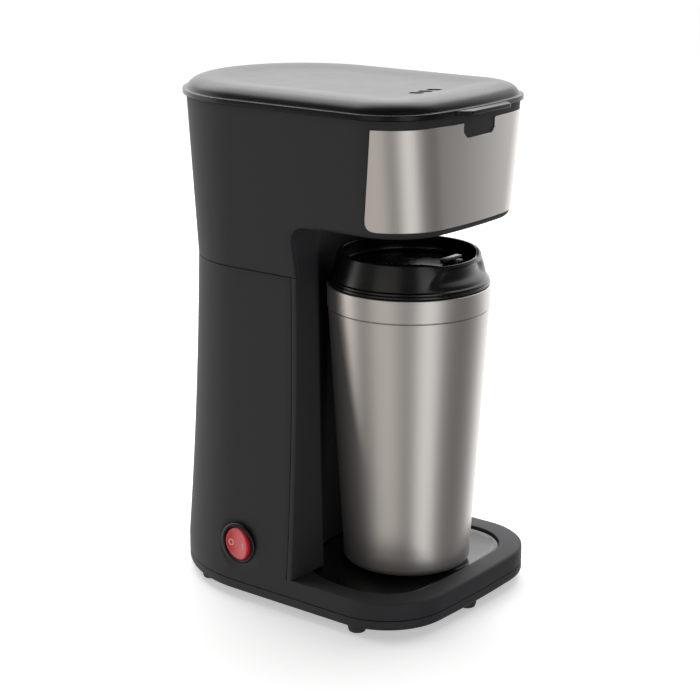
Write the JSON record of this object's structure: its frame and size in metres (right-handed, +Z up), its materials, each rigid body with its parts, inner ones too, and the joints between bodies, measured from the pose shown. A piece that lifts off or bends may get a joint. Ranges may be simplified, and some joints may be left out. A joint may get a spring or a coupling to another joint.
{
  "type": "drip coffee maker",
  "caption": "One-cup drip coffee maker with hinged lid, steel front panel, rocker switch and a lidded steel travel mug in its bay.",
  "frame": {"origin": "on the surface the feet stand on, below the middle of the object", "axes": "+Z up, -Y towards the front with the mug bay, -X towards the side with the switch"},
  "size_m": [0.1359, 0.1851, 0.2701],
  "materials": {
    "black_housing": "satin moulded plastic with a fine grain",
    "tank_plastic": "smooth food-safe plastic",
    "tray_gloss": "polished",
    "brushed_steel": "brushed stainless steel",
    "red_rocker": "translucent red, polished",
    "rubber": "matt",
    "silicone": "milky silicone",
    "cast_aluminium": "as cast",
    "zinc_steel": "zinc plated",
    "filter_nylon": "fine nylon mesh",
    "white_ceramic": "phenolic and ceramic"
  },
  "bodies": {
    "root": {"base_plate": "black_housing", "base_screws": "zinc_steel", "foot_front": "rubber", "foot_front_left": "rubber", "foot_front_right": "rubber", "foot_rear_left": "rubber", "foot_rear_right": "rubber", "lower_housing": "black_housing", "mug_tray": "tray_gloss", "bay_panel": "black_housing", "upper_housing": "black_housing", "lid_hinge_pin": "zinc_steel", "head_underside": "black_housing", "front_panel": "brushed_steel", "water_tank": "tank_plastic", "hot_water_tube": "silicone", "cold_water_tube": "silicone", "check_valve": "white_ceramic", "hose_clamps": "zinc_steel", "heater_block": "cast_aluminium", "heater_tube": "cast_aluminium", "heater_bracket": "zinc_steel", "thermostat": "white_ceramic", "thermal_fuse": "white_ceramic", "outlet_spout": "black_housing", "basket_support": "black_housing", "brew_basket": "black_housing", "filter_frame": "tank_plastic", "filter_mesh": "filter_nylon", "switch_body": "tray_gloss", "cord_gland": "black_housing", "terminal_block": "white_ceramic"},
    "lid": {"lid_cover": "black_housing", "lid_inner_plate": "black_housing"},
    "rocker": {"switch_rocker": "red_rocker"},
    "mug": {"mug_shell": "brushed_steel", "mug_band": "brushed_steel", "mug_liner": "brushed_steel", "mug_base_pad": "rubber"},
    "mug_lid": {"mug_lid": "black_housing", "mug_lid_seal": "rubber"},
    "slider": {"sip_slider": "black_housing"}
  },
  "joints": [
    {"name": "lid_hinge", "type": "hinge", "parent": "root", "child": "lid", "pos_m": [0, 0.0905, 0.2588], "axis": [-1, 0, 0], "range_deg": [0, 100]},
    {"name": "switch_rock", "type": "hinge", "parent": "root", "child": "rocker", "pos_m": [-0.0655, 0.019, 0.0304], "axis": [0, 0, 1], "range_deg": [0, 16]},
    {"name": "mug_pull", "type": "slide", "parent": "root", "child": "mug", "axis": [0, -0.9917, 0.1289], "range_m": [0, 0.16]},
    {"name": "mug_lid_twist", "type": "hinge", "parent": "mug", "child": "mug_lid", "pos_m": [0, -0.0432, 0.17], "axis": [0, 0, 1], "range_deg": [0, 90]},
    {"name": "sip_slide", "type": "slide", "parent": "mug_lid", "child": "slider", "axis": [0, 1, 0], "range_m": [0, 0.01]}
  ]
}
